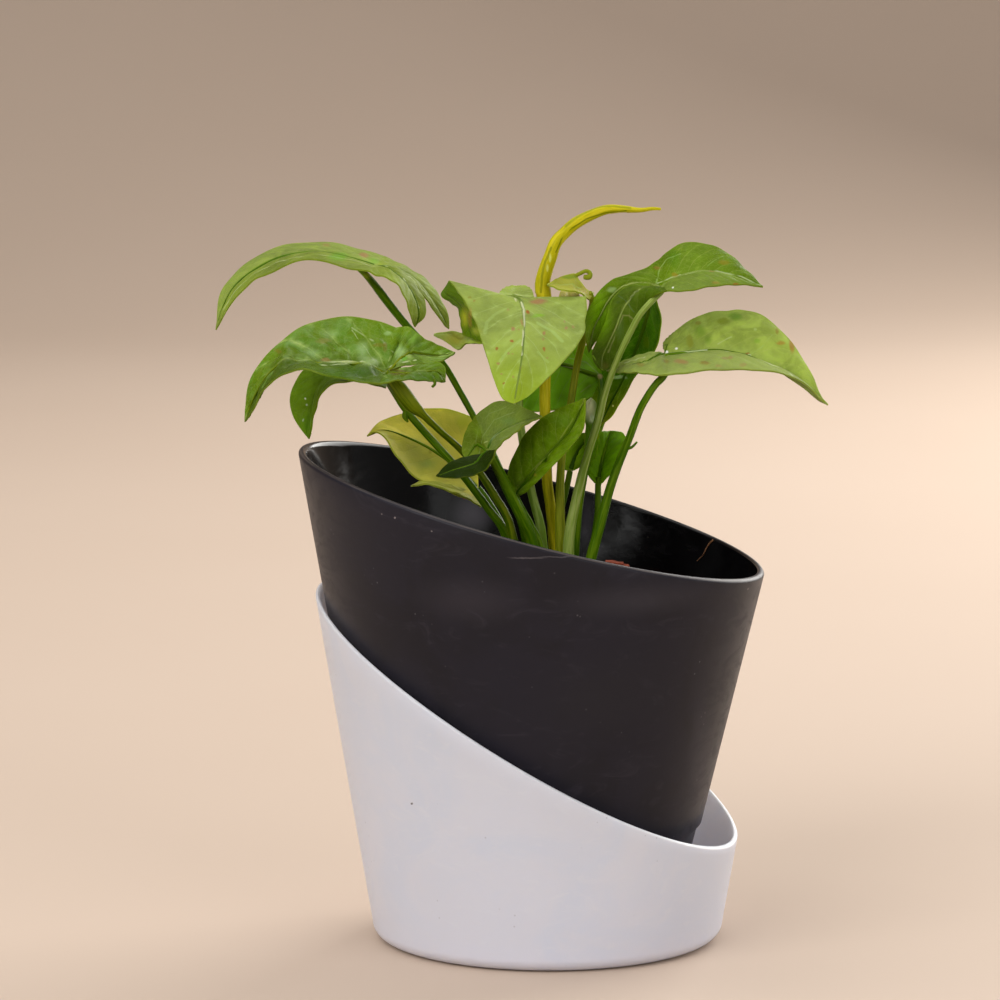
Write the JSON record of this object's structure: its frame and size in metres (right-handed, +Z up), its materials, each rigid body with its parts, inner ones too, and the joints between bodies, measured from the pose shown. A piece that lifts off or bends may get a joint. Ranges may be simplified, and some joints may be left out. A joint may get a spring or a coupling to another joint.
{
  "type": "potted arrowhead plant",
  "caption": "Arrowhead-leaved house plant on slender stems in a black inner pot with a slanted rim, standing in a pale slanted water vessel.",
  "frame": {"origin": "middle of the water vessel's flat underside", "axes": "+Z up; +X towards the low side of both slanted rims, where water is filled in; the pictured side is -Y"},
  "size_m": [0.1836, 0.1408, 0.2206],
  "materials": {
    "pale_plastic": "satin",
    "black_plastic": "satin",
    "potting_soil": "rough",
    "red_clay": "rough",
    "pale_leaf": "satin",
    "mid_leaf": "satin",
    "dark_leaf": "satin",
    "young_leaf": "satin"
  },
  "bodies": {
    "root": {"outer_vessel": "pale_plastic", "inner_pot": "black_plastic", "soil": "potting_soil", "clay_chip": "red_clay", "leaf_upper_left": "mid_leaf", "leaf_left_front": "mid_leaf", "leaf_left_hanging": "dark_leaf", "leaf_centre_front": "pale_leaf", "leaf_low_left": "pale_leaf", "leaf_middle_left": "mid_leaf", "leaf_low_centre": "mid_leaf", "leaf_rolled": "young_leaf", "leaf_opening": "young_leaf", "leaf_upper_right": "mid_leaf", "leaf_right": "pale_leaf", "leaf_low_right": "dark_leaf", "leaf_low_inner": "dark_leaf", "leaf_right_hanging": "dark_leaf", "leaf_centre_back": "dark_leaf"}
  },
  "joints": []
}
